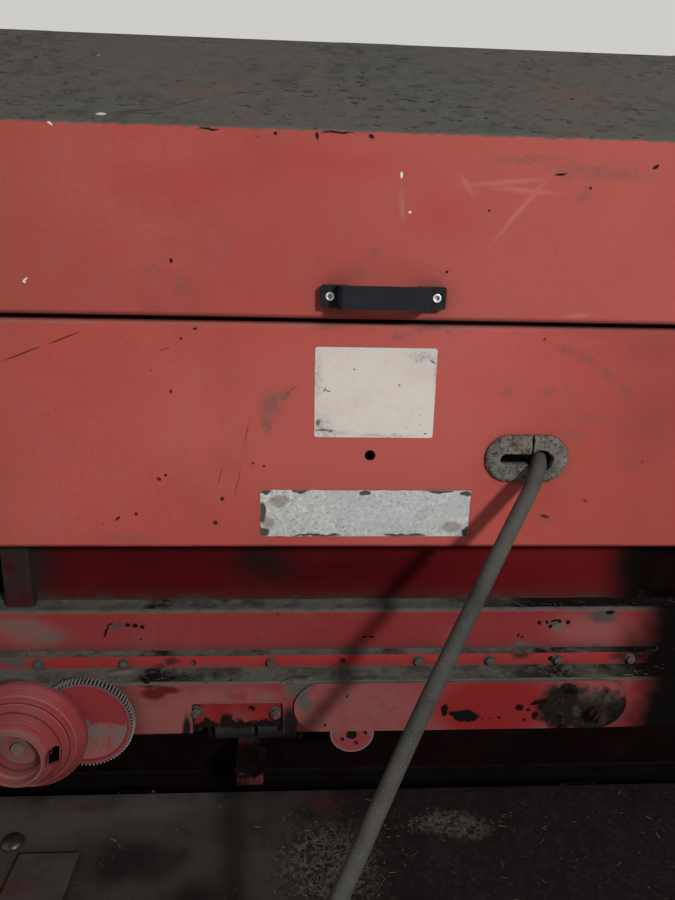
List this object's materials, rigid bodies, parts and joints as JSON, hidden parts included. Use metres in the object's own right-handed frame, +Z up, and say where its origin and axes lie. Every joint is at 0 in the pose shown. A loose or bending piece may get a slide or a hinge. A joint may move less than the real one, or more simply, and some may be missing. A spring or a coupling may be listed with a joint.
{
  "type": "round baler twine box front",
  "caption": "Front of a round baler: twine box with a hinged lid and handle, cross beams, twine drive with stepped pulley and gear, rollers, drawbar deck and a hose.",
  "frame": {"origin": "middle of the four mounting holes, in the rear plane of the side plates' flanges", "axes": "+X to the right as seen from the tractor, +Y back into the baler, +Z up"},
  "size_m": [1.314, 0.79, 1.1199],
  "materials": {
    "red_paint": "worn and dusty",
    "lid_paint": "faded and dusty",
    "deck_paint": "worn, oily and dusty",
    "bare_steel": "dull",
    "cast_red": "painted, worn",
    "pinion_steel": "dull and greasy",
    "black_plastic": "satin",
    "edge_rubber": "dusty",
    "roller_rubber": "worn smooth",
    "hose_rubber": "matt and dusty"
  },
  "bodies": {
    "frame": {"side_plate_left": "red_paint", "side_plate_right": "red_paint", "box_floor": "red_paint", "box_rear_wall": "red_paint", "apron": "red_paint", "apron_bracket": "red_paint", "cross_beam": "red_paint", "packing_strip": "red_paint", "lower_beam": "red_paint", "guide_plate": "red_paint", "roller_bracket": "red_paint", "wheel_strap": "red_paint", "cutter_bracket": "red_paint", "deck_cross_tube": "red_paint", "chamber_guard": "red_paint", "front_panel": "lid_paint", "deck_plate": "deck_paint", "deck_pad": "deck_paint", "drawbar_rail_left": "deck_paint", "drawbar_rail_right": "deck_paint", "hinge_leaves_fixed": "bare_steel", "hinge_pins": "bare_steel", "roller_axle": "bare_steel", "gear_shaft": "bare_steel", "pulley_shaft": "bare_steel", "tensioner_bolt": "bare_steel", "tensioner_washer_rear": "bare_steel", "tensioner_washer_front": "bare_steel", "hose_fitting": "bare_steel", "hose_coupler": "bare_steel", "feed_pipe": "bare_steel", "fitting_bracket": "bare_steel", "cutter_block": "cast_red", "grommet": "edge_rubber", "hose": "hose_rubber", "hose_coil": "hose_rubber"},
    "lid": {"lid": "lid_paint", "lid_ribs": "lid_paint", "hinge_leaves_lid": "bare_steel", "pull_handle": "black_plastic"},
    "pulley": {"stepped_pulley": "cast_red", "pinion": "pinion_steel"},
    "gear": {"drive_gear": "cast_red"},
    "roller_left": {"roller_core_left": "bare_steel", "roller_sleeve_left": "roller_rubber"},
    "roller_right": {"roller_core_right": "bare_steel", "roller_sleeve_right": "roller_rubber"},
    "small_wheel": {"twine_wheel": "cast_red"}
  },
  "joints": [
    {"name": "lid_hinge", "type": "hinge", "parent": "frame", "child": "lid", "pos_m": [0, -0.016, 0.43742], "axis": [-1, 0, 0], "range_deg": [0, 125]},
    {"name": "pulley_spin", "type": "hinge", "parent": "frame", "child": "pulley", "pos_m": [-0.43223, -0.35, -0.42882], "axis": [0, -1, 0], "continuous": true},
    {"name": "gear_spin", "type": "hinge", "parent": "frame", "child": "gear", "pos_m": [-0.3621, -0.328, -0.4207], "axis": [0, -1, 0], "continuous": true},
    {"name": "roller_left_spin", "type": "hinge", "parent": "frame", "child": "roller_left", "pos_m": [-0.178, -0.282, -0.458], "axis": [1, 0, 0], "continuous": true},
    {"name": "roller_right_spin", "type": "hinge", "parent": "frame", "child": "roller_right", "pos_m": [-0.12, -0.282, -0.458], "axis": [1, 0, 0], "continuous": true},
    {"name": "small_wheel_spin", "type": "hinge", "parent": "frame", "child": "small_wheel", "pos_m": [-0.0192, -0.297, -0.465], "axis": [0, -1, 0], "continuous": true}
  ],
  "couplings": [
    {"joint": "gear_spin", "follows": "pulley_spin", "ratio": -0.175}
  ]
}
